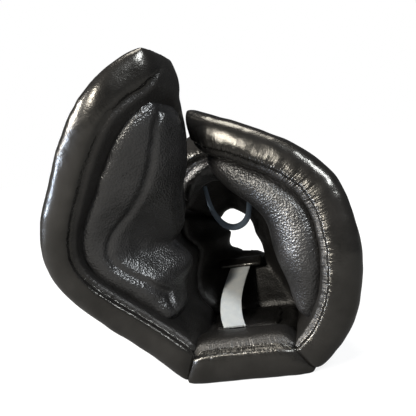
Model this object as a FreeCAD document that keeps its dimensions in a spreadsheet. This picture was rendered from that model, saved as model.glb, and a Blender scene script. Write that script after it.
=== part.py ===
import FreeCAD, Part
import math
import os
from FreeCAD import Vector

# A boxing headgear lying on its nape, face side up. +Y runs from the neck opening to the crown,
# -X is the wearer's right. Millimetres.

SIZES = {
    # outer line of the neck rim: how far each corner stands out from the middle, and how high
    "nape_width": 104,
    "nape_offset": 20,
    "crease_rise": 1.5,
    "seat_trim": 0.4,
    "right_side_reach": 78,
    "right_side_height": 49,
    "right_ear_reach": 124,
    "right_ear_height": 120,
    "right_temple_reach": 101,
    "right_temple_height": 184,
    "right_cheek_reach": 52,
    "right_cheek_height": 248,
    "right_tip_reach": 9,
    "right_tip_height": 270,
    "left_side_reach": 106,
    "left_side_height": 38,
    "left_ear_reach": 120,
    "left_ear_height": 98,
    "left_temple_reach": 107,
    "left_temple_height": 156,
    "left_cheek_reach": 51,
    "left_cheek_height": 201,
    "left_tip_reach": 6,
    "left_tip_height": 229,
    # outer line of the brow band: its ends tuck behind the temples
    "forehead_height": 232,
    "brow_right_reach": 58,
    "brow_right_height": 220,
    "brow_left_reach": 60,
    "brow_left_height": 208,
    "temple_tuck": 4,
    "temple_rise": 6,
    # the dome
    "crown_x": 7,
    "crown_z": 102,
    "dome_depth": 186,
    "nape_flat": 82,
    "right_lean": 0.15,
    "cheek_sweep": 0.4,
    "cheek_dip": 0.24,
    "left_lean": 0.07,
    # where the panels begin and end along the head
    "right_jaw_drop": 56,
    "left_jaw_drop": 8,
    "left_tip_set": 30,
    "side_end": 109,
    "temple_end": 76,
    "right_ear_end": 104,
    "right_temple_end": 86,
    "right_brow_end": 57,
    "right_cheek_end": 39,
    "right_tip_end": -6,
    "left_cheek_end": 66,
    "left_tip_end": 64,
    "forehead_start": 80,
    "forehead_right_start": 101,
    "forehead_left_start": 92,
    "forehead_end": 109,
    "crown_end": 150,
    "crown_rear_end": 161,
    "crown_left_end": 142,
    "tab_gap": 0.6,
    "wing_gap": 0.5,
    # the layers
    "cover": 2,
    "foam": 23,
    "lining": 2,
    "rim_strip": 3,
    "layer_gap": 0.2,
    # pads
    "cheek_pad": 20,
    "cheek_pad_margin": 14,
    "cheek_pad_far_margin": 4,
    "right_pad_shoulder": 25,
    "left_pad_shoulder": 14,
    "far_shoulder": 10,
    "pad_panel": 3,
    "panel_inset": 1,
    "right_pad_first": 0.14,
    "right_pad_last": 0.96,
    "left_pad_first": 0.08,
    "left_pad_last": 1.0,
    "nape_roll": 6,
    "nape_roll_start": 4,
    "nape_roll_end": 40,
    "rear_pad": 4,
    "forehead_pad": 10,
    "pad_margin": 6,
    "pad_space": 3,
    "pad_shoulder": 3,
    "roll_shoulder": 6,
    # trim
    "binding": 3.2,
    "binding_gap": 0.8,
    "side_tab_start": 0.31,
    "rear_tab_end": 0.305,
    "right_tab_top": 0.6,
    "left_tab_top": 0.58,
    "strap_width": 19,
    "strap_thick": 1.6,
    "strap_x": 8,
    "strap_start": 47,
    "strap_end": 149,
    "tab_width": 40,
    "tab_thick": 1.8,
    "tab_length": 12,
    "seat_gap": 0.3,
    "strap_rise": 0.6,
    "strap_top_gap": 9.5,
    "lace_thick": 4,
}

doc = FreeCAD.newDocument("BoxingHeadgear")
sheet = doc.addObject("Spreadsheet::Sheet", "Sizes")
for row, (alias, value) in enumerate(SIZES.items(), start=1):
    sheet.set("A%d" % row, alias.replace("_", " "))
    sheet.set("B%d" % row, str(value))
    sheet.setAlias("B%d" % row, alias)
doc.recompute()


def size(alias):
    return float(sheet.get(alias))


WING_STEPS = 24
CENTRE = Vector(size("crown_x"), 0, size("crown_z"))
WALL = size("cover") + size("foam") + size("lining") + 2 * size("layer_gap")


def mix(values, share):
    """A value read at share 0..1 along an evenly spaced list, with no corner at its entries."""
    last = len(values) - 1
    place = share * last
    low = max(0, min(int(place), last - 1))
    t = place - low
    before, here, there, after = (values[max(0, min(last, low + k))] for k in (-1, 0, 1, 2))
    return 0.5 * (2 * here + (there - before) * t + (2 * before - 5 * here + 4 * there - after) * t ** 2
                  + (3 * here - before - 3 * there + after) * t ** 3)


def rim_line(points):
    curve = Part.BSplineCurve()
    curve.interpolate([Vector(x, 0, z) for x, z in points])
    return curve


def station(curve, share):
    """One slice of the dome wall, in the plane through the crown axis and a point of the rim line."""
    low, high = curve.FirstParameter, curve.LastParameter
    point, tangent = curve.getD1(low + (high - low) * share)
    arm = point - CENTRE
    radial = Vector(arm).normalize()
    across = Vector(tangent).normalize()
    square = math.sqrt(max(0.25, 1 - radial.dot(across) ** 2))
    flat = size("nape_flat") * min(1.0, max(0.0, (-radial.z - 0.25) / 0.55))
    lean = size("right_lean" if radial.x < 0 else "left_lean") * abs(radial.x)
    return {"radial": radial, "reach": arm.Length, "square": square, "flat": flat, "lean": lean,
            "sweep": Vector(0, 0, 0), "rim": 0.0}


def wing_station(side, share):
    """A slice of a wing. The right cheek also sweeps in over the face opening as it goes back."""
    slice_ = station(rims[side], share)
    slice_["rim"] = mix(starts[side], share)
    if side == "right":
        grown = min(1.0, max(0.0, (share - 0.45) / 0.35))
        grown = grown * grown * (3 - 2 * grown)
        slice_["sweep"] = Vector(size("cheek_sweep"), 0, -size("cheek_dip")) * grown
    return slice_


def shrink(slice_, y):
    """How far the wall has drawn in towards the crown axis at depth y: 1 at the rim, 0 at the top."""
    run = (y - slice_["flat"]) / (size("dome_depth") - slice_["flat"])
    if run <= 0:
        return 1.0
    run = min(run, 0.98)
    return (1 - run ** 2) ** 1.1 - slice_["lean"] * math.sin(math.pi * run) ** 2


def wall_point(slice_, y, depth):
    """The point of the wall at y along the outer face, depth millimetres inside it."""
    slope = (shrink(slice_, y + 1) - shrink(slice_, y - 1)) / 2 * slice_["reach"] * slice_["square"]
    norm = math.hypot(1, slope)
    reach = slice_["reach"] * shrink(slice_, y) - depth / norm / slice_["square"]
    back = y + depth * slope / norm
    return CENTRE + slice_["radial"] * reach + Vector(0, back, 0) + slice_["sweep"] * (back - slice_["rim"])


def smooth_edge(points):
    curve = Part.BSplineCurve()
    curve.interpolate(points)
    return curve.toShape()


def layer_wire(slice_, start, end, outer, inner, shoulder=0.0, far_shoulder=0.0):
    """A closed section of wall from start to end, between two depths, narrower inside by its shoulders."""
    count = 7
    outside = [start + (end - start) * i / (count - 1) for i in range(count)]
    inner_start, inner_end = start + shoulder, end - far_shoulder
    inside = [inner_start + (inner_end - inner_start) * i / (count - 1) for i in range(count)]
    top = [wall_point(slice_, y, outer) for y in outside]
    low = [wall_point(slice_, y, inner) for y in reversed(inside)]
    edges = [smooth_edge(top), Part.makeLine(top[-1], low[0])]
    edges += [smooth_edge(low), Part.makeLine(low[-1], top[0])]
    return Part.Wire(edges)


def layer(slices, starts, ends, outer, inner, shoulder=(0.0, 0.0), far_shoulder=None):
    """A solid of wall lofted over its slices. Each of the lists is read along the slices."""
    far_shoulder = far_shoulder or shoulder
    last = len(slices) - 1
    wires = []
    for i, slice_ in enumerate(slices):
        share = i / last
        wires.append(layer_wire(slice_, mix(starts, share), mix(ends, share), mix(outer, share),
                                mix(inner, share), mix(shoulder, share), mix(far_shoulder, share)))
    return Part.makeLoft(wires, True, True)


parts = []


def add(name, shape):
    piece = doc.addObject("Part::Feature", name)
    piece.Label = name
    piece.Shape = shape
    parts.append(piece)
    return piece


# Rim lines: the nape is straight, each wing runs from its crease round the ear to the cheek tip.
def rim_points(side, sign):
    names = ("side", "ear", "temple", "cheek", "tip")
    crease = size("nape_offset") + sign * size("nape_width") / 2
    points = [(crease, size("crease_rise"))]
    for corner in names:
        points.append((sign * size("%s_%s_reach" % (side, corner)), size("%s_%s_height" % (side, corner))))
    return points


rims = {"right": rim_line(rim_points("right", -1)), "left": rim_line(rim_points("left", 1))}

# Lists read along a wing from its crease to its tip: where its rim starts and where it ends on the head.
starts = {
    "right": [0, -3, -10, -20, -30, -40, -50, -size("right_jaw_drop"), -size("right_jaw_drop") + 16],
    "left": [0, -2, -size("left_jaw_drop"), -size("left_jaw_drop"), -4, 2, 8, 16, size("left_tip_set")],
}
ends = {
    "right": [size("side_end")] * 3 + [size("side_end") - 1, size("right_ear_end"),
                                       size("right_temple_end"), size("right_brow_end"),
                                       size("right_cheek_end"), size("right_tip_end")],
    "left": [size("side_end")] * 3 + [size("side_end") - 2, size("side_end") - 10, size("temple_end") + 4,
             (size("temple_end") + size("left_cheek_end")) / 2, size("left_cheek_end"), size("left_tip_end")],
}
# How far the cheek pads reach, and how their thickness grows and falls along them.
pad_reach = {"right": [60, 78, 88, 92, 92, 83, 60, 36, -6], "left": [54, 70, 76, 78, 75, 68, 62, 61, 60]}
pad_rise = [0.3, 0.9, 1, 1, 1, 1, 1, 0.9, 0.35]
layers = (("cover", 0.0, size("cover")),
          ("foam", size("cover") + size("layer_gap"), size("cover") + size("layer_gap") + size("foam")),
          ("lining", WALL - size("lining"), WALL))


def wing(side):
    slices = [wing_station(side, i / WING_STEPS) for i in range(WING_STEPS + 1)]
    strip = size("rim_strip") + size("layer_gap")
    inset = [s + strip for s in starts[side]]
    for name, outer, inner in layers:
        add("%s_wing_%s" % (side, name), layer(slices, inset, ends[side], [outer, outer], [inner, inner]))
    rim_end = [s + size("rim_strip") for s in starts[side]]
    add(side + "_wing_rim", layer(slices, starts[side], rim_end, [0.0, 0.0], [WALL, WALL]))


def cheek_pad(side):
    """The raised pad inside a wing: a tapered block of foam with a leather panel on its face."""
    first, last = (round(size("%s_pad_%s" % (side, end)) * WING_STEPS) for end in ("first", "last"))
    shares = [i / WING_STEPS for i in range(first, last + 1)]
    count = len(shares)
    slices = [wing_station(side, share) for share in shares]
    rise = [mix(pad_rise, i / (count - 1)) for i in range(count)]
    near = [mix(starts[side], share) + size("cheek_pad_margin") for share in shares]
    reach = [mix(pad_reach[side], share) for share in shares]
    far = [min(mix(ends[side], share) - size("cheek_pad_far_margin"), r) for share, r in zip(shares, reach)]
    bottom = WALL + size("seat_gap") + size("layer_gap")
    foam_top = [bottom + size("cheek_pad") * r for r in rise]
    shoulder = [size(side + "_pad_shoulder") * r for r in rise]
    far_shoulder = [size("far_shoulder") * r for r in rise]
    add(side + "_cheek_pad_foam", layer(slices, near, far, [bottom] * count, foam_top, shoulder, far_shoulder))
    near = [n + s + size("panel_inset") for n, s in zip(near, shoulder)]
    far = [f - s - size("panel_inset") for f, s in zip(far, far_shoulder)]
    base = [t + size("layer_gap") for t in foam_top]
    top = [t + size("pad_panel") for t in base]
    add(side + "_cheek_pad_panel", layer(slices, near, far, base, top, [1.0, 1.0]))


for side in ("right", "left"):
    wing(side)
    cheek_pad(side)

# Nape panel, between the two creases.
half = size("nape_width") / 2 - size("wing_gap")
nape_rim = rim_line([(size("nape_offset") + half * k, 0.0) for k in (-1, -0.5, 0, 0.5, 1)])
nape_slices = [station(nape_rim, i / 8) for i in range(9)]
strip = size("rim_strip") + size("layer_gap")
floor = Part.makeBox(400, 400, 50, Vector(-200, -200, size("seat_trim") - 50))
for name, outer, inner in layers:
    shape = layer(nape_slices, [strip, strip], [size("side_end")] * 2, [outer] * 2, [inner] * 2)
    add("nape_" + name, shape.cut(floor) if name == "cover" else shape)
nape_edge = layer(nape_slices, [0, 0], [size("rim_strip")] * 2, [0.0] * 2, [WALL] * 2)
add("nape_rim", nape_edge.cut(floor))
pad_base = WALL + size("layer_gap")
roll_top = pad_base + size("nape_roll")
add("nape_roll", layer(nape_slices, [size("nape_roll_start")] * 2, [size("nape_roll_end")] * 2,
                       [pad_base] * 2, [roll_top] * 2, [size("roll_shoulder")] * 2))

# The pad behind the head, from the roll up to the crown.
rear_top = pad_base + size("rear_pad")
rear_start = size("nape_roll_end") + size("pad_space")
add("rear_pad", layer(nape_slices[1:-1], [rear_start] * 2, [size("side_end") - size("pad_space")] * 2,
                      [pad_base] * 2, [rear_top] * 2, [size("pad_shoulder")] * 2))

# Forehead band, from temple to temple beyond the face opening.
tuck, rise = size("temple_tuck"), size("temple_rise")
brow_rim = rim_line([(-size("right_temple_reach") + tuck, size("right_temple_height") + rise),
                     (-size("brow_right_reach"), size("brow_right_height")),
                     (0, size("forehead_height")),
                     (size("brow_left_reach"), size("brow_left_height")),
                     (size("left_temple_reach") - tuck, size("left_temple_height") + rise)])
brow_slices = [station(brow_rim, i / 16) for i in range(17)]
brow_start = [size("forehead_right_start"), size("forehead_start") + 6, size("forehead_start"),
              size("forehead_start") + 2, size("forehead_left_start")]
for name, outer, inner in layers:
    add("forehead_" + name, layer(brow_slices, [b + strip for b in brow_start], [size("forehead_end")] * 2,
                                  [outer] * 2, [inner] * 2))
add("forehead_rim", layer(brow_slices, brow_start, [b + size("rim_strip") for b in brow_start],
                          [0.0] * 2, [WALL] * 2))
brow_pad_slices = brow_slices[2:-2]
brow_pad_start = [mix(brow_start, i / 16) + size("pad_margin") for i in range(2, 15)]
add("forehead_pad", layer(brow_pad_slices, brow_pad_start, [size("forehead_end") - size("pad_space")] * 2,
                          [pad_base] * 2, [pad_base + size("forehead_pad")] * 2, [size("pad_shoulder")] * 2))

# Crown: four padded tabs drawn together round the opening.
def side_run(side, first, last, count):
    """Slices of the dome over a wing, with no sweep."""
    return [station(rims[side], first + (last - first) * i / (count - 1)) for i in range(count)]


tab_ends = {side: (size("side_tab_start"), size(side + "_tab_top")) for side in ("right", "left")}
tabs = {side: side_run(side, *tab_ends[side], 13) for side in ("right", "left")}
tabs["front"] = brow_slices
rear_share = size("rear_tab_end")
tabs["rear"] = side_run("right", rear_share, 0.0, 9) + nape_slices + side_run("left", 0.0, rear_share, 9)
tab_start = size("forehead_end") + size("tab_gap")
inside = size("cover") + size("layer_gap")
tab_reach = {
    "right": [size("crown_end")] * 2,
    "left": [size("crown_left_end")] * 2,
    "front": [size("crown_end")] * 3 + [size("crown_end") - 3, size("crown_left_end")],
    "rear": [size("crown_end"), size("crown_rear_end") - 5, size("crown_rear_end"), size("crown_rear_end"),
             size("crown_rear_end") - 4, size("crown_end"), size("crown_left_end")],
}
for name, slices in tabs.items():
    limits = [tab_start] * 2, tab_reach[name]
    add("crown_%s_cover" % name, layer(slices, *limits, [0.0] * 2, [size("cover")] * 2))
    add("crown_%s_padding" % name, layer(slices, *limits, [inside] * 2, [WALL] * 2))


# A leather binding round the crown opening. Its ends meet at the back of the head.
def bead_wire(slice_, reach):
    """The eight-sided section of the binding beyond the end of the wall, in the plane of a slice."""
    slope = (shrink(slice_, reach + 1) - shrink(slice_, reach - 1)) / 2 * slice_["reach"]
    clear = (size("binding") + size("binding_gap")) / math.hypot(1, slope * slice_["square"])
    middle = wall_point(slice_, reach + clear, WALL / 2)
    corners = []
    for i in range(8):
        angle = math.pi * (i + 0.5) / 4
        corners.append(middle + slice_["radial"] * size("binding") * math.cos(angle)
                       + Vector(0, size("binding") * math.sin(angle), 0))
    return Part.makePolygon(corners + corners[:1])


def tab_edge(name):
    """The slices of a crown tab, each with the place where the tab ends."""
    last = len(tabs[name]) - 1
    return [(slice_, mix(tab_reach[name], i / last)) for i, slice_ in enumerate(tabs[name])]


rear_edge = tab_edge("rear")
back = len(rear_edge) // 2
ring = rear_edge[back + 1:] + tab_edge("left")[1:] + tab_edge("front")[-3:1:-1] + tab_edge("right")[::-1]
ring += rear_edge[1:back]
add("crown_binding", Part.makeLoft([bead_wire(*edge) for edge in ring], True, True))

# The elastic strap behind the head, sewn to the rear pad and under a leather tab at the crown.
def bound_box(name, place, rotation, **cells):
    box = doc.addObject("Part::Box", name)
    box.Label = name
    for side, formula in cells.items():
        box.setExpression(side, formula)
    doc.recompute()
    box.Placement = FreeCAD.Placement(place, rotation)
    parts.append(box)
    return box


def nape_point(y, depth):
    return wall_point(station(nape_rim, 0.5), y, depth)


strap_low = nape_point(size("strap_start"), pad_base + size("rear_pad") + size("seat_gap"))
strap_high = nape_point(size("strap_end"), WALL + size("strap_top_gap"))
run = strap_high - strap_low
tilt = FreeCAD.Rotation(Vector(1, 0, 0), math.degrees(math.atan2(run.z, run.y)))
lift = tilt.multVec(Vector(0, 0, 1))
along = tilt.multVec(Vector(0, 1, 0))
middle = Vector(size("strap_x"), strap_low.y, strap_low.z)
strap = bound_box("elastic_strap", middle - Vector(size("strap_width") / 2, 0, 0) + lift * size("strap_rise"),
                  tilt, Length="Sizes.strap_width", Height="Sizes.strap_thick")
strap.Width = run.Length
over = size("strap_rise") + size("strap_thick") + size("layer_gap")
bound_box("strap_upper_tab", middle - Vector(size("tab_width") / 2, 0, 0) + lift * over
          + along * (run.Length - size("tab_length") / 2), tilt,
          Length="Sizes.tab_width", Width="Sizes.tab_length", Height="Sizes.tab_thick")

# The crown lace: a loose loop hanging from the brow pad. Straight runs joined by tangent arcs.
LACE_POINTS = [Vector(-8.8, 93.2, 152.2), Vector(-8.2, 94, 142), Vector(-6, 95, 127), Vector(2, 96, 113),
               Vector(13, 96, 109), Vector(24, 96, 114), Vector(29, 95, 127), Vector(31, 91.4, 139.8)]


def lace_path(points):
    edges = []
    here = points[0]
    for before, corner, after in zip(points, points[1:], points[2:]):
        back, forth = before - corner, after - corner
        shorter = min(back.Length, forth.Length)
        back.normalize()
        forth.normalize()
        turn = math.pi - back.getAngle(forth)
        cut = 0.45 * shorter
        enter, leave = corner + back * cut, corner + forth * cut
        bisector = Vector(back + forth).normalize()
        radius = cut / math.tan(turn / 2)
        middle = corner + bisector * (math.hypot(radius, cut) - radius)
        print("lace radius %.1f" % radius)
        edges += [Part.makeLine(here, enter), Part.Arc(enter, middle, leave).toShape()]
        here = leave
    edges.append(Part.makeLine(here, points[-1]))
    return Part.Wire(edges)


lace_line = lace_path(LACE_POINTS)
lace_round = Part.makeCircle(size("lace_thick") / 2, LACE_POINTS[0], LACE_POINTS[1] - LACE_POINTS[0])
lace = add("crown_lace", lace_line.makePipeShell([Part.Wire([lace_round])], True, True))
print("lace length %.1f, volume against section times length %.4f"
      % (lace_line.Length, lace.Shape.Volume / (math.pi * size("lace_thick") ** 2 / 4 * lace_line.Length)))

# The origin is under the middle of the headgear, on the surface it lies on.
doc.recompute()
whole = FreeCAD.BoundBox()
for piece in parts:
    whole.add(piece.Shape.optimalBoundingBox(False))
seat = Vector(-whole.Center.x, -whole.Center.y, -whole.ZMin)
print("moved to its seat by", seat)
for piece in parts:
    piece.Placement = FreeCAD.Placement(seat, FreeCAD.Rotation()) * piece.Placement

doc.recompute()
os.makedirs("parts", exist_ok=True)
for piece in parts:
    shape = piece.Shape
    if "Invalid" in piece.State or "Error" in piece.State or shape.isNull() or not shape.isValid():
        raise ValueError("%s failed" % piece.Label)
    shape.exportStep("parts/%s.step" % piece.Label)
    box = shape.BoundBox
    print("%-26s %9.0f mm3, x %.0f to %.0f, y %.0f to %.0f, z %.0f to %.0f"
          % (piece.Label, shape.Volume, box.XMin, box.XMax, box.YMin, box.YMax, box.ZMin, box.ZMax))
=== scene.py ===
import math

import bpy
import numpy as np
from mathutils import Matrix, Vector, noise
from mathutils.bvhtree import BVHTree


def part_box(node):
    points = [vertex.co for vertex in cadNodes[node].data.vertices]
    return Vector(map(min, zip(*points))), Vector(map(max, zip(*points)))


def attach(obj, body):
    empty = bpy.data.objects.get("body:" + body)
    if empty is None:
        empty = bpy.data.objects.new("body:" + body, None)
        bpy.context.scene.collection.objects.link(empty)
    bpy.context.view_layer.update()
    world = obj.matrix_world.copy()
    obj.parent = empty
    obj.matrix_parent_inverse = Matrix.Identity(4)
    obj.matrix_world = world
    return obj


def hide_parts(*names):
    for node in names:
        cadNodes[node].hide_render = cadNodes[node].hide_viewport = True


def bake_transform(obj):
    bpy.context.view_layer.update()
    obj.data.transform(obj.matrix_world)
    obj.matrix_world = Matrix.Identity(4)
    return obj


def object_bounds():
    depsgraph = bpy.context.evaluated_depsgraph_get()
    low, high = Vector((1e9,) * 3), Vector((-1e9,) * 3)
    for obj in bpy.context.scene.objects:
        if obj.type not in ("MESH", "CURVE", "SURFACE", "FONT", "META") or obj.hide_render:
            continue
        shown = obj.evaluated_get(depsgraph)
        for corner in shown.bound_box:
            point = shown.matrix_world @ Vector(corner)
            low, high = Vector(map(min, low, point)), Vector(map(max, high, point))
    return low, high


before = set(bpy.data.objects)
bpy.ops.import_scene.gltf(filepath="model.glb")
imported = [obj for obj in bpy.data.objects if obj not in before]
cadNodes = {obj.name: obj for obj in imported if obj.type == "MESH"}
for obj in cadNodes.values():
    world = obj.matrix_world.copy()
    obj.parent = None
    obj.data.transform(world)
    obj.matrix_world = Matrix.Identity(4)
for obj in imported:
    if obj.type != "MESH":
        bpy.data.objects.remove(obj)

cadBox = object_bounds()
print("frame loaded,", len(cadNodes), "nodes")


# ---- small helpers

mergeGap = 0.00002  # corners of a solid's triangles that lie closer than this are one


def deselectAll():
    if bpy.context.object and bpy.context.object.mode != "OBJECT":
        bpy.ops.object.mode_set(mode="OBJECT")
    bpy.ops.object.select_all(action="DESELECT")


def makeActive(piece):
    deselectAll()
    piece.select_set(True)
    bpy.context.view_layer.objects.active = piece


def copyOfNodes(names, pieceName):
    # one mesh from copies of the frame's solids, with their loose triangles merged
    copies = []
    for name in names:
        copied = bpy.data.objects.new(pieceName, cadNodes[name].data.copy())
        bpy.context.scene.collection.objects.link(copied)
        copies.append(copied)
    deselectAll()
    for copied in copies:
        copied.select_set(True)
    bpy.context.view_layer.objects.active = copies[0]
    if len(copies) > 1:
        bpy.ops.object.join()
    piece = bpy.context.view_layer.objects.active
    piece.name = pieceName
    piece.data.materials.clear()
    bpy.ops.object.mode_set(mode="EDIT")
    bpy.ops.mesh.select_all(action="SELECT")
    bpy.ops.mesh.remove_doubles(threshold=mergeGap)
    bpy.ops.object.mode_set(mode="OBJECT")
    return piece


def applyModifier(piece, kind, **settings):
    makeActive(piece)
    modifier = piece.modifiers.new(kind.title(), kind)
    for name, value in settings.items():
        setattr(modifier, name, value)
    bpy.ops.object.modifier_apply(modifier=modifier.name)


def stuffPiece(piece, form):
    # closes the copy into one skin, swells it and lets it settle round
    applyModifier(piece, "REMESH", mode="VOXEL", voxel_size=form["voxel"], use_smooth_shade=True)
    applyModifier(piece, "DISPLACE", strength=form["puff"], mid_level=0.0)
    applyModifier(piece, "SMOOTH", factor=form["relax"], iterations=form["relaxTimes"])


def surfaceOf(names):
    verts, faces = [], []
    for name in names:
        mesh = cadNodes[name].data
        offset = len(verts)
        verts += [v.co.copy() for v in mesh.vertices]
        faces += [[offset + i for i in p.vertices] for p in mesh.polygons]
    return BVHTree.FromPolygons(verts, faces)


def readPoints(piece):
    count = len(piece.data.vertices)
    points = np.zeros(count * 3)
    piece.data.vertices.foreach_get("co", points)
    normals = np.zeros(count * 3)
    piece.data.vertex_normals.foreach_get("vector", normals)
    return points.reshape(-1, 3), normals.reshape(-1, 3)


def writePoints(piece, points):
    piece.data.vertices.foreach_set("co", points.ravel())
    piece.data.update()


def distanceTo(surface, points):
    return np.array([surface.find_nearest(Vector(p))[3] for p in points])


def storeAttribute(piece, name, values):
    attribute = piece.data.attributes.new(name, "FLOAT", "POINT")
    attribute.data.foreach_set("value", values.astype(np.float32))


def roughField(points, scale, seed, octaves=3):
    # smooth noise at each point, about -1 to 1
    shift = Vector((seed * 3.1, seed * 7.7, seed * 1.3))
    return np.array([noise.fractal(Vector(p) * scale + shift, 0.6, 2.0, octaves) for p in points])


crownCentre = Vector((0.0090, 0, 0.1016))
rimRadius = 0.12


def alongRim(points):
    # distance round the head, measured from the nape
    turn = np.arctan2(points[:, 0] - crownCentre.x, crownCentre.z - points[:, 2])
    return turn * rimRadius


def pieceOf(pieceName, verts, faces, uvs=None):
    # one closed piece from its corners and faces, with its normals outwards
    mesh = bpy.data.meshes.new(pieceName)
    mesh.from_pydata(verts, [], faces)
    if uvs:
        layer = mesh.uv_layers.new(name="UVMap")
        for loop in mesh.loops:
            layer.data[loop.index].uv = uvs[loop.vertex_index]
    piece = bpy.data.objects.new(pieceName, mesh)
    bpy.context.scene.collection.objects.link(piece)
    makeActive(piece)
    bpy.ops.object.mode_set(mode="EDIT")
    bpy.ops.mesh.select_all(action="SELECT")
    bpy.ops.mesh.normals_make_consistent(inside=False)
    bpy.ops.object.mode_set(mode="OBJECT")
    bpy.ops.object.shade_smooth_by_angle(angle=math.radians(50))
    return piece


# ---- materials

def newMaterial(name):
    material = bpy.data.materials.new(name)
    material.use_nodes = True
    tree = material.node_tree
    return material, tree, tree.nodes["Principled BSDF"]


def nodeOf(tree, kind, **sockets):
    made = tree.nodes.new(kind)
    for name, value in sockets.items():
        made.inputs[name.replace("_", " ")].default_value = value
    return made


def bumpAfter(tree, height, before, strength, depth):
    bump = nodeOf(tree, "ShaderNodeBump", Strength=strength, Distance=depth)
    tree.links.new(height, bump.inputs["Height"])
    if before:
        tree.links.new(before, bump.inputs["Normal"])
    return bump.outputs["Normal"]


def multiplied(tree, first, second):
    product = tree.nodes.new("ShaderNodeMath")
    product.operation = "MULTIPLY"
    tree.links.new(first, product.inputs[0])
    tree.links.new(second, product.inputs[1])
    return product.outputs["Value"]


def toneBetween(tree, factor, *stops):
    # colour that runs between two stops, each a place and a colour
    tone = tree.nodes.new("ShaderNodeValToRGB")
    for element, (place, colour) in zip(tone.color_ramp.elements, stops):
        element.position = place
        element.color = (*colour, 1)
    tree.links.new(factor, tone.inputs["Fac"])
    return tone.outputs["Color"]


def attributeOf(tree, name):
    node = tree.nodes.new("ShaderNodeAttribute")
    node.attribute_name = name
    return node.outputs["Fac"]


def leather(name, colour, gloss):
    # pebbled leather: cells for the pebbles, pores, long soft creases, and gathers where it is marked
    material, tree, shader = newMaterial(name)
    link = tree.links.new
    place = tree.nodes.new("ShaderNodeTexCoord").outputs["Object"]
    pebbles = nodeOf(tree, "ShaderNodeTexVoronoi", Scale=1 / gloss["pebble"])
    pores = nodeOf(tree, "ShaderNodeTexNoise", Scale=1.6 / gloss["pebble"], Detail=4.0, Roughness=0.65)
    cloud = nodeOf(tree, "ShaderNodeTexNoise", Scale=30.0, Detail=6.0, Roughness=0.62)
    creases = nodeOf(tree, "ShaderNodeTexNoise", Scale=70.0, Detail=5.0, Roughness=0.55, Distortion=1.6)
    for texture in (pebbles, pores, cloud, creases):
        link(place, texture.inputs["Vector"])
    faded = [c * 0.7 for c in colour]
    worn = [min(1, c * gloss["wear"]) for c in colour]
    link(toneBetween(tree, cloud.outputs["Fac"], (0.38, faded), (0.70, worn)), shader.inputs["Base Color"])
    sheen = nodeOf(tree, "ShaderNodeMapRange", To_Min=gloss["rough"] - 0.06, To_Max=gloss["rough"] + 0.10)
    link(pores.outputs["Fac"], sheen.inputs["Value"])
    link(sheen.outputs["Result"], shader.inputs["Roughness"])
    normal = bumpAfter(tree, creases.outputs["Fac"], None, 0.5, gloss["crease"])
    if gloss.get("gather"):
        pair = tree.nodes.new("ShaderNodeCombineXYZ")
        link(attributeOf(tree, "along"), pair.inputs["X"])
        link(attributeOf(tree, "across"), pair.inputs["Y"])
        foldLong, foldWide = gloss["fold"]
        stretch = nodeOf(tree, "ShaderNodeMapping", Scale=(1 / foldWide, 1 / foldLong, 1))
        link(pair.outputs["Vector"], stretch.inputs["Vector"])
        folds = nodeOf(tree, "ShaderNodeTexNoise", Scale=1.0, Detail=3.0, Distortion=0.6)
        link(stretch.outputs["Vector"], folds.inputs["Vector"])
        masked = multiplied(tree, folds.outputs["Fac"], attributeOf(tree, "gather"))
        normal = bumpAfter(tree, masked, normal, 1.0, gloss["gather"])
    normal = bumpAfter(tree, pores.outputs["Fac"], normal, 0.6, gloss["grain"] * 0.7)
    normal = bumpAfter(tree, pebbles.outputs["Distance"], normal, 0.8, gloss["grain"])
    link(normal, shader.inputs["Normal"])
    shader.inputs["Specular IOR Level"].default_value = gloss["shine"]
    shader.inputs["Specular Tint"].default_value = gloss["tint"] + (1,)
    return material


shellLeather = leather("shellLeather", (0.0075, 0.0070, 0.0065), {
    "pebble": 0.0012, "rough": 0.22, "crease": 0.0006, "grain": 0.00006, "wear": 1.8,
    "gather": 0.0016, "fold": (0.018, 0.0026), "shine": 0.6, "tint": (1, 0.96, 0.88)})
padLeather = leather("padLeather", (0.0110, 0.0105, 0.0105), {
    "pebble": 0.0017, "rough": 0.30, "crease": 0.0003, "grain": 0.00050, "wear": 1.8,
    "shine": 0.9, "tint": (1, 0.99, 0.97)})
liningLeather = leather("liningLeather", (0.0065, 0.0060, 0.0056), {
    "pebble": 0.0015, "rough": 0.42, "crease": 0.0006, "grain": 0.00030, "wear": 1.6,
    "gather": 0.0010, "fold": (0.018, 0.0026), "shine": 0.5, "tint": (1, 0.97, 0.93)})


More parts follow.
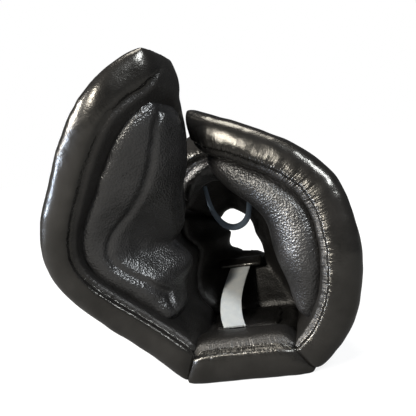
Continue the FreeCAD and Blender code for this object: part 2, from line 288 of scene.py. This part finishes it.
def wovenElastic():
    # white elastic on the strap's own map: ribs along it, picks across it, painted shade in the low parts
    # of that weave, and a little soil
    material, tree, shader = newMaterial("wovenElastic")
    link = tree.links.new
    place = tree.nodes.new("ShaderNodeTexCoord").outputs["UV"]
    ribs = nodeOf(tree, "ShaderNodeTexWave", Scale=0.31, Distortion=0.6, Detail=1.0)
    ribs.bands_direction = "Y"
    picks = nodeOf(tree, "ShaderNodeTexWave", Scale=0.36, Distortion=0.8, Detail=1.0)
    picks.bands_direction = "X"
    soil = nodeOf(tree, "ShaderNodeTexNoise", Scale=0.12, Detail=5.0)
    for texture in (ribs, picks, soil):
        link(place, texture.inputs["Vector"])
    weave = multiplied(tree, ribs.outputs["Fac"], picks.outputs["Fac"])
    tone = toneBetween(tree, soil.outputs["Fac"], (0.3, (0.62, 0.66, 0.68)), (0.7, (0.80, 0.81, 0.78)))
    # painted shade: the colour is darkened where the weave is low, as shade between the threads
    paintedWeaveShade = tree.nodes.new("ShaderNodeMix")
    paintedWeaveShade.data_type = "RGBA"
    paintedWeaveShade.blend_type = "MULTIPLY"
    paintedWeaveShade.inputs["Factor"].default_value = 0.45
    link(tone, paintedWeaveShade.inputs[6])
    link(weave, paintedWeaveShade.inputs[7])
    link(paintedWeaveShade.outputs[2], shader.inputs["Base Color"])
    link(bumpAfter(tree, weave, None, 0.9, 0.0003), shader.inputs["Normal"])
    shader.inputs["Roughness"].default_value = 0.85
    shader.inputs["Sheen Weight"].default_value = 0.3
    return material


def braidedLace():
    material, tree, shader = newMaterial("braidedLace")
    place = tree.nodes.new("ShaderNodeTexCoord").outputs["Object"]
    braid = nodeOf(tree, "ShaderNodeTexVoronoi", Scale=1400.0)
    tree.links.new(place, braid.inputs["Vector"])
    tree.links.new(bumpAfter(tree, braid.outputs["Distance"], None, 0.7, 0.0002), shader.inputs["Normal"])
    # painted reflection: the bluish sheen on the flat cord is set into its light blue-grey colour
    shader.inputs["Base Color"].default_value = (0.13, 0.17, 0.22, 1)
    shader.inputs["Roughness"].default_value = 0.7
    return material


print("materials made")


# ---- soft pulls: where stuffing and bent leather carry a wing past its plain solid

pulls = {
    "right": {"centre": (-0.040, -0.090, 0.258), "reach": 0.026, "pull": (0.004, 0, 0.0035)},
    "left": {"centre": (0.008, -0.045, 0.220), "reach": 0.024, "pull": (-0.014, 0, 0.001)},
}


def pulled(points, side):
    pull = pulls[side]
    away = np.linalg.norm(points - np.array(pull["centre"]), axis=1)
    share = np.exp(-(away / pull["reach"]) ** 2 / 2)
    return points + share[:, None] * np.array(pull["pull"])


# ---- padded shells: the cover, foam, lining and rim of one panel as one stuffed piece

shellForm = {
    "voxel": 0.0016, "puff": 0.0022, "relax": 0.5, "relaxTimes": 170,
    "seamWidth": 0.0018, "seamDepth": 0.0026, "seamReach": 0.010,
    "gatherDepth": 0.0010, "gatherPitch": 0.0060, "gatherSlant": 60, "gatherReach": 0.010,
    "unevenness": 0.0007, "unevenScale": 24,
    "spread": 0.085,  # share by which the middle panels widen, so that they meet the wings
    "footing": 0.0002,  # least height over the floor
}


def paddedShell(pieceName, prefix, seed, gather, extra=()):
    form = shellForm
    names = [prefix + part for part in ("_cover", "_foam", "_lining", "_rim")] + list(extra)
    piece = copyOfNodes(names, pieceName)
    stuffPiece(piece, form)
    points, normals = readPoints(piece)
    toRim = distanceTo(surfaceOf([prefix + "_rim"]), points)
    toLining = distanceTo(surfaceOf([prefix + "_lining"]), points)
    toCover = distanceTo(surfaceOf([prefix + "_cover"]), points)
    across = toRim - toLining
    near = np.exp(-(np.maximum(toRim, toLining) / form["seamReach"]) ** 2)
    move = -form["seamDepth"] * np.exp(-(across / form["seamWidth"]) ** 2) * near
    along = alongRim(points)
    waves = np.array([noise.noise(Vector((a / form["gatherPitch"], c * form["gatherSlant"], seed)))
                      for a, c in zip(along, across)])
    reach = np.exp(-(across / form["gatherReach"]) ** 2) * near
    move += form["gatherDepth"] * gather * waves * reach
    move += form["unevenness"] * roughField(points, form["unevenScale"], seed)
    placed = points + normals * move[:, None]
    if prefix.endswith("_wing"):
        placed = pulled(placed, prefix.split("_")[0])
    else:
        middle = (placed[:, 0].max() + placed[:, 0].min()) / 2
        placed[:, 0] += (placed[:, 0] - middle) * form["spread"]
    placed[:, 2] = np.maximum(placed[:, 2], form["footing"])
    writePoints(piece, placed)
    storeAttribute(piece, "along", along)
    storeAttribute(piece, "across", across)
    storeAttribute(piece, "gather", reach * gather)
    lined = (toLining < toCover) & (across > 0)
    piece.data.materials.append(shellLeather)
    piece.data.materials.append(liningLeather)
    for face in piece.data.polygons:
        face.material_index = 1 if all(lined[i] for i in face.vertices) else 0
    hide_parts(*names)
    print("shell", pieceName, len(points), "points")
    return piece


rightShell = paddedShell("right_wing_shell", "right_wing", 1, 0.35)
leftShell = paddedShell("left_wing_shell", "left_wing", 2, 1.0)
napeShell = paddedShell("nape_shell", "nape", 3, 0.6, extra=["nape_roll"])
browShell = paddedShell("brow_shell", "forehead", 4, 0.6)


# ---- raised cheek pads: a stuffed base, with a panel drawn in along its border on the right pad only

padForm = {
    "voxel": 0.0016, "relax": 0.5, "unevenness": 0.0006, "unevenScale": 30, "fill": 0.8,
    "grooveWidth": 0.0022, "grooveDepth": 0.0034, "grooveShift": 0.0005, "grooveReach": 0.010,
    "grooveLow": 0.055, "grooveFade": 0.02,  # height at which the groove runs out, and over how much
}
rightPadForm = padForm | {"puff": 0.0056, "relaxTimes": 170, "groove": 1.0}
leftPadForm = padForm | {"puff": 0.0075, "relaxTimes": 420, "groove": 0.0}


def raisedPad(pieceName, seed, form):
    names = [pieceName + "_foam", pieceName + "_panel"]
    piece = copyOfNodes(names, pieceName)
    stuffPiece(piece, form)
    points, normals = readPoints(piece)
    toFoam = distanceTo(surfaceOf(names[:1]), points)
    toPanel = distanceTo(surfaceOf(names[1:]), points)
    border = toPanel - toFoam - form["grooveShift"]
    move = -form["grooveDepth"] * form["groove"] * np.exp(-(border / form["grooveWidth"]) ** 2)
    move *= np.exp(-(toPanel / form["grooveReach"]) ** 2)
    move *= np.clip((points[:, 2] - form["grooveLow"]) / form["grooveFade"], 0, 1)
    move += form["unevenness"] * roughField(points, form["unevenScale"], seed)
    writePoints(piece, pulled(points + normals * move[:, None], pieceName.split("_")[0]))
    piece.data.materials.append(padLeather)
    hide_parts(*names)
    print("pad", pieceName, len(points), "points")
    return piece


rightPad = raisedPad("right_cheek_pad", 5, rightPadForm)
leftPad = raisedPad("left_cheek_pad", 6, leftPadForm)


# ---- plain stuffed pads and the crown tabs

stuffedForm = {
    "voxel": 0.0016, "relax": 0.5, "puff": 0.0012, "relaxTimes": 14,
    "unevenness": 0.0007, "unevenScale": 35, "fill": 0.6,
}


def stuffedPad(pieceName, names, seed, material, **changes):
    form = stuffedForm | changes
    piece = copyOfNodes(names, pieceName)
    stuffPiece(piece, form)
    points, normals = readPoints(piece)
    move = form["unevenness"] * roughField(points, form["unevenScale"], seed)
    writePoints(piece, points + normals * move[:, None])
    storeAttribute(piece, "along", alongRim(points))
    piece.data.materials.append(material)
    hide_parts(*names)
    return piece


crownNodes = ["crown_%s_%s" % (side, layer) for side in ("left", "right", "front", "rear")
              for layer in ("cover", "padding")] + ["crown_binding"]
rearPad = stuffedPad("rear_head_pad", ["rear_pad"], 8, liningLeather)
browPad = stuffedPad("brow_inner_pad", ["forehead_pad"], 9, padLeather, puff=0.002)
crownShell = stuffedPad("crown_tabs", crownNodes, 10, liningLeather, puff=0.0024, relaxTimes=60)
strapTab = stuffedPad("strap_leather_tab", ["strap_upper_tab"], 16, shellLeather, puff=0.001, relaxTimes=3)
print("pads and crown made")


# ---- elastic strap

strapForm = {
    "width": 0.019, "thick": 0.0015, "bow": -0.006, "bowSkew": 0.8, "edgeThin": 0.7,
    "scallop": 0.0004, "scallopPitch": 0.0022, "jag": 0.0013, "jagPitch": 0.9,
    "tail": 0.009, "liftLow": 0.0005, "gapHigh": 0.0006,  # past its seam below, and off the tab above
    "rows": 240, "columns": 16,
}


def elasticStrap():
    form = strapForm
    low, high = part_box("elastic_strap")
    middleX = (low.x + high.x) / 2
    start = Vector((middleX, low.y - form["tail"], low.z + form["thick"] + form["liftLow"]))
    end = Vector((middleX, high.y - form["gapHigh"], high.z - form["thick"]))
    run = end - start
    lift = Vector((0, -run.z, run.y)).normalized()
    verts, faces, uvs = [], [], []
    columns, rows = form["columns"], form["rows"]
    for face, level in enumerate((0.5, -0.5)):
        for i in range(rows + 1):
            share = i / rows
            bow = form["bow"] * math.sin(math.pi * share ** form["bowSkew"])
            wave = 2 * math.pi * share * run.length / form["scallopPitch"]
            width = form["width"] + form["scallop"] * math.sin(wave)
            for k in range(columns + 1):
                across = k / columns - 0.5
                place = start + run * share + Vector((bow + across * width, 0, 0))
                place += lift * (form["thick"] * level * (1 - (2 * across) ** 6 * form["edgeThin"]))
                if i == 0:
                    frayed = noise.noise(Vector((k * form["jagPitch"], 3, 5)))
                    place -= run.normalized() * form["jag"] * frayed
                verts.append(place)
                uvs.append((across * form["width"] * 1000, share * run.length * 1000))
    side = (rows + 1) * (columns + 1)

    def at(face, i, k):
        return face * side + i * (columns + 1) + k

    for i in range(rows):
        for k in range(columns):
            faces.append((at(0, i, k), at(0, i, k + 1), at(0, i + 1, k + 1), at(0, i + 1, k)))
            faces.append((at(1, i, k), at(1, i + 1, k), at(1, i + 1, k + 1), at(1, i, k + 1)))
        faces.append((at(0, i, 0), at(0, i + 1, 0), at(1, i + 1, 0), at(1, i, 0)))
        edge = [(0, i), (1, i), (1, i + 1), (0, i + 1)]
        faces.append(tuple(at(face, row, columns) for face, row in edge))
    for k in range(columns):
        faces.append((at(0, 0, k), at(1, 0, k), at(1, 0, k + 1), at(0, 0, k + 1)))
        faces.append((at(0, rows, k), at(0, rows, k + 1), at(1, rows, k + 1), at(1, rows, k)))
    piece = pieceOf("elastic_strap_woven", verts, faces, uvs)
    piece.data.materials.append(wovenElastic())
    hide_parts("elastic_strap")
    return piece


strap = elasticStrap()


# ---- crown lace: a flat cord hanging in a loop

laceForm = {
    "width": 0.0060, "thick": 0.0022, "length": 0.0910, "diameter": 0.004,
    "twist": 0.9, "tilt": -0.2, "corners": 16, "steps": 12,
}
seat = Vector((0.002031, -0.052777, -0.0004))
lacePoints = [Vector(p) / 1000 + seat for p in (
    (-8.8, 93.2, 152.2), (-8.2, 94, 142), (-6, 95, 127), (2, 96, 113),
    (13, 96, 109), (24, 96, 114), (29, 95, 127), (31, 91.4, 139.8))]


def laceCurve():
    data = bpy.data.curves.new("laceRoute", "CURVE")
    data.dimensions = "3D"
    spline = data.splines.new("NURBS")
    spline.points.add(len(lacePoints) - 1)
    for point, place in zip(spline.points, lacePoints):
        point.co = (*place, 1)
    spline.order_u = 3
    spline.use_endpoint_u = True
    spline.resolution_u = laceForm["steps"]
    route = bpy.data.objects.new("laceRoute", data)
    bpy.context.scene.collection.objects.link(route)
    mesh = route.to_mesh()
    points = [v.co.copy() for v in mesh.vertices]
    route.to_mesh_clear()
    bpy.data.objects.remove(route)
    return points


def crownLace():
    form = laceForm
    route = laceCurve()
    corners = form["corners"]
    verts, faces = [], []
    for i, place in enumerate(route):
        ahead = (route[min(i + 1, len(route) - 1)] - route[max(i - 1, 0)]).normalized()
        rise = Vector((form["twist"] * math.cos(math.pi * i / len(route)), 1, form["tilt"]))
        rise = (rise - ahead * rise.dot(ahead)).normalized()
        flat = ahead.cross(rise)
        for k in range(corners):
            angle = 2 * math.pi * k / corners
            verts.append(place + flat * (form["width"] / 2 * math.cos(angle))
                         + rise * (form["thick"] / 2 * math.sin(angle)))
    for i in range(len(route) - 1):
        for k in range(corners):
            here, beside = i * corners + k, i * corners + (k + 1) % corners
            faces.append((here, beside, beside + corners, here + corners))
    faces.append(tuple(range(corners))[::-1])
    faces.append(tuple((len(route) - 1) * corners + k for k in range(corners)))
    piece = pieceOf("crown_lace_cord", verts, faces)
    piece.data.materials.append(braidedLace())
    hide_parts("crown_lace")
    return piece


lace = crownLace()


# ---- what each piece moves with

for piece in (napeShell, browShell, rearPad, browPad, strapTab, strap, lace, crownShell):
    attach(piece, "shell")

# the wings, which bend open from the crown side to the rim, only have their placement baked into their
# points; they are attached to no body
for piece, body in ((rightShell, "right_wing"), (rightPad, "right_wing"),
                    (leftShell, "left_wing"), (leftPad, "left_wing")):
    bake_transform(piece)
print("soft pieces placed")


# ---- floor, light and camera

studio = {
    "cameraPlace": (0.1184, -0.5506, 0.2055), "azimuth": 12.0, "elevation": 7.0, "roll": 10.0,
    "lens": 57.1, "sensor": 36, "worldLight": 0.07, "worldColour": (0.92, 0.95, 1, 1),
    "floorSize": 8, "floorDrop": 0.0003, "floorTone": 0.16, "floorRough": 0.9, "floorShine": 0.1,
    "floorGlow": 0.86, "shadowNear": 0.13, "shadowFar": 0.45,  # the shadow fades between the two
}
lamps = {
    "leftWindow": {"place": (-1.0, -0.50, 0.52), "size": (0.13, 0.42),
                   "power": 26, "colour": (1, 0.97, 0.92)},
    "frontWindow": {"place": (-0.50, -1.00, 0.62), "size": (0.10, 0.3),
                    "power": 12, "colour": (1, 0.96, 0.88)},
    "leftLow": {"place": (-1.0, -0.42, 0.14), "size": (0.12, 0.10),
                "power": 5, "colour": (0.66, 0.78, 1)},
    "rightWindow": {"place": (0.75, -0.75, 0.95), "size": (0.2, 0.4),
                    "power": 17, "colour": (0.90, 0.95, 1)},
    "topSoft": {"place": (0.1, -0.05, 1.2), "size": (0.5, 0.4),
                "power": 10, "colour": (1, 0.96, 0.88)},
}

bpy.ops.mesh.primitive_plane_add(size=studio["floorSize"], location=(0, 0, -studio["floorDrop"]))
floor = bpy.context.object
floor.name = "studioFloor"


def paleSurface():
    # floor that reads white to the camera and keeps the shadow close to the object
    material, tree, shader = newMaterial("paleFloor")
    link = tree.links.new
    shader.inputs["Base Color"].default_value = (studio["floorTone"],) * 3 + (1,)
    shader.inputs["Roughness"].default_value = studio["floorRough"]
    shader.inputs["Specular IOR Level"].default_value = studio["floorShine"]
    shader.inputs["Emission Color"].default_value = (1, 1, 1, 1)
    rays = tree.nodes.new("ShaderNodeLightPath")
    spot = tree.nodes.new("ShaderNodeTexCoord")
    away = tree.nodes.new("ShaderNodeVectorMath")
    away.operation = "LENGTH"
    link(spot.outputs["Object"], away.inputs[0])
    fade = nodeOf(tree, "ShaderNodeMapRange", From_Min=studio["shadowNear"], From_Max=studio["shadowFar"],
                  To_Min=studio["floorGlow"], To_Max=1.0)
    link(away.outputs["Value"], fade.inputs["Value"])
    glow = multiplied(tree, rays.outputs["Is Camera Ray"], fade.outputs["Result"])
    link(glow, shader.inputs["Emission Strength"])
    return material


floor.data.materials.append(paleSurface())
middle = (cadBox[0] + cadBox[1]) / 2
for name, lamp in lamps.items():
    data = bpy.data.lights.new(name, "AREA")
    data.shape = "RECTANGLE"
    data.size, data.size_y = lamp["size"]
    data.energy = lamp["power"]
    data.color = lamp["colour"]
    light = bpy.data.objects.new(name, data)
    bpy.context.scene.collection.objects.link(light)
    light.location = lamp["place"]
    light.rotation_euler = (middle - Vector(lamp["place"])).to_track_quat("-Z", "Y").to_euler()

world = bpy.data.worlds.new("studioWorld")
bpy.context.scene.world = world
world.use_nodes = True
tree = world.node_tree
link = tree.links.new
tree.nodes.clear()
output = tree.nodes.new("ShaderNodeOutputWorld")
rays = tree.nodes.new("ShaderNodeLightPath")
lit = nodeOf(tree, "ShaderNodeBackground", Strength=studio["worldLight"], Color=studio["worldColour"])
seen = nodeOf(tree, "ShaderNodeBackground", Strength=1.0, Color=(1, 1, 1, 1))
choose = tree.nodes.new("ShaderNodeMixShader")
link(rays.outputs["Is Camera Ray"], choose.inputs[0])
link(lit.outputs[0], choose.inputs[1])
link(seen.outputs[0], choose.inputs[2])
link(choose.outputs[0], output.inputs["Surface"])

cameraData = bpy.data.cameras.new("studioCamera")
camera = bpy.data.objects.new("studioCamera", cameraData)
bpy.context.scene.collection.objects.link(camera)
bpy.context.scene.camera = camera
cameraData.lens = studio["lens"]
cameraData.sensor_width = studio["sensor"]
camera.location = studio["cameraPlace"]
turn = Matrix.Rotation(math.radians(studio["azimuth"]), 4, "Z")
turn @= Matrix.Rotation(math.radians(90 - studio["elevation"]), 4, "X")
turn @= Matrix.Rotation(math.radians(-studio["roll"]), 4, "Z")
camera.rotation_euler = turn.to_euler()
bpy.context.scene.view_settings.view_transform = "Standard"
print("studio made")
